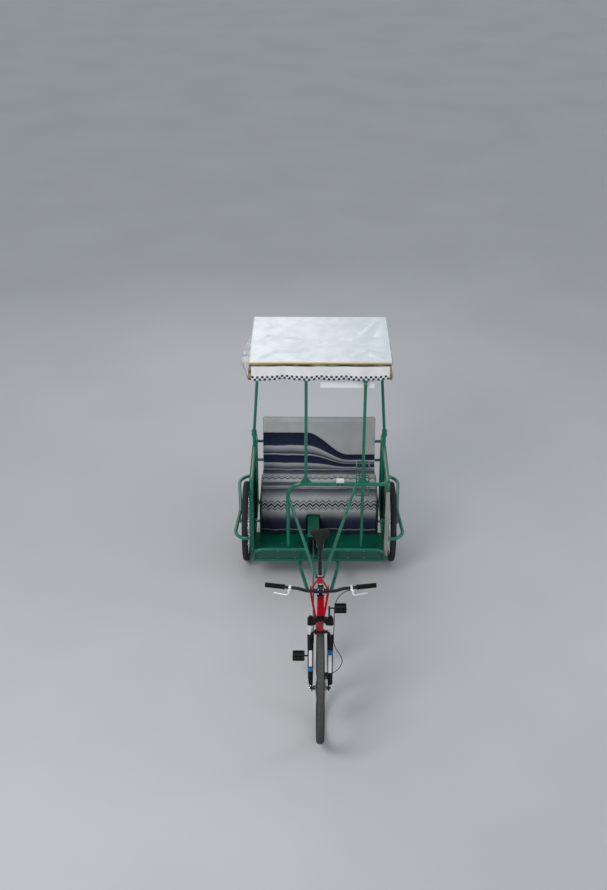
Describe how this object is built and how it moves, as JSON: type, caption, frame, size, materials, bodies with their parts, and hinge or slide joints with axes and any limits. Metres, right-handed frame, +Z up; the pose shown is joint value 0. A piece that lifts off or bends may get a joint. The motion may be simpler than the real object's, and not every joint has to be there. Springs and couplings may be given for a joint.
{
  "type": "cycle rickshaw tricycle",
  "caption": "Three-wheeled pedicab: bicycle front with steered wheel, tubular cab with bench seat, canopy, wheel guards and chain drive to the rear axle.",
  "frame": {"origin": "centre of the overall box, on the ground", "axes": "+X forward, +Y to the vehicle's left, +Z up"},
  "size_m": [2.9817, 1.3688, 1.95],
  "materials": {
    "green_paint": "gloss",
    "green_sheet": "satin",
    "grey_sheet": "satin",
    "red_paint": "gloss",
    "black_paint": "satin",
    "black_alloy": "satin",
    "alloy": "polished",
    "chromed": "polished",
    "tyre_rubber": "matt",
    "grip_rubber": "matt",
    "steel": "satin",
    "chain_steel": "oily",
    "black_plastic": "matt",
    "white_plastic": "gloss",
    "sign_white": "matt",
    "canopy_vinyl": "semi-gloss coated cloth",
    "seat_vinyl": "vinyl",
    "saddle_vinyl": "matt",
    "plywood": "painted",
    "blanket_wool": "woven stripes"
  },
  "bodies": {
    "cab": {"bike_frame": "red_paint", "saddle": "saddle_vinyl", "chassis": "green_paint", "floor": "green_sheet", "toe_board": "green_paint", "front_rail": "green_paint", "side_rail": "green_paint", "corner_post": "green_paint", "braces": "green_paint", "front_posts": "green_paint", "rod_cage": "green_paint", "uprights": "green_paint", "canopy_frame": "green_paint", "canopy": "canopy_vinyl", "sign_board": "sign_white", "seat_base": "plywood", "seat_cushion": "seat_vinyl", "seat_back": "seat_vinyl", "blanket": "blanket_wool", "panel_right": "green_sheet", "panel_left": "grey_sheet", "guard_right": "green_paint", "guard_left": "green_paint", "rail_lamp": "white_plastic", "chain": "chain_steel"},
    "steering": {"fork_upper": "chromed", "fork_lowers": "black_paint", "stem": "black_alloy", "handlebar": "black_alloy", "grips": "grip_rubber", "brake_levers": "alloy", "caliper": "black_alloy", "brake_hose": "black_plastic"},
    "front_wheel_body": {"front_tyre": "tyre_rubber", "front_wheel": "black_alloy"},
    "drive_axle": {"right_tyre": "tyre_rubber", "right_wheel": "alloy", "axle": "steel"},
    "left_wheel_body": {"left_tyre": "tyre_rubber", "left_wheel": "alloy"},
    "crank": {"crankset": "black_alloy"},
    "right_pedal": {"pedal_right": "black_plastic"},
    "left_pedal": {"pedal_left": "black_plastic"}
  },
  "joints": [
    {"name": "steer", "type": "hinge", "parent": "cab", "child": "steering", "pos_m": [0.8953, 0, 0.86873], "axis": [-0.342, 0, 0.9397], "range_deg": [-50, 50]},
    {"name": "front_wheel_spin", "type": "hinge", "parent": "steering", "child": "front_wheel_body", "pos_m": [1.12689, 0, 0.364], "axis": [0, 1, 0], "continuous": true},
    {"name": "drive_axle_spin", "type": "hinge", "parent": "cab", "child": "drive_axle", "pos_m": [-0.97311, 0, 0.328], "axis": [0, 1, 0], "continuous": true},
    {"name": "left_wheel_spin", "type": "hinge", "parent": "cab", "child": "left_wheel_body", "pos_m": [-0.97311, 0.594, 0.328], "axis": [0, 1, 0], "continuous": true},
    {"name": "crank_spin", "type": "hinge", "parent": "cab", "child": "crank", "pos_m": [0.44989, 0, 0.3], "axis": [0, 1, 0], "continuous": true},
    {"name": "right_pedal_spin", "type": "hinge", "parent": "crank", "child": "right_pedal", "pos_m": [0.5701, -0.15, 0.17979], "axis": [0, 1, 0], "continuous": true},
    {"name": "left_pedal_spin", "type": "hinge", "parent": "crank", "child": "left_pedal", "pos_m": [0.32968, 0.15, 0.42021], "axis": [0, 1, 0], "continuous": true}
  ]
}
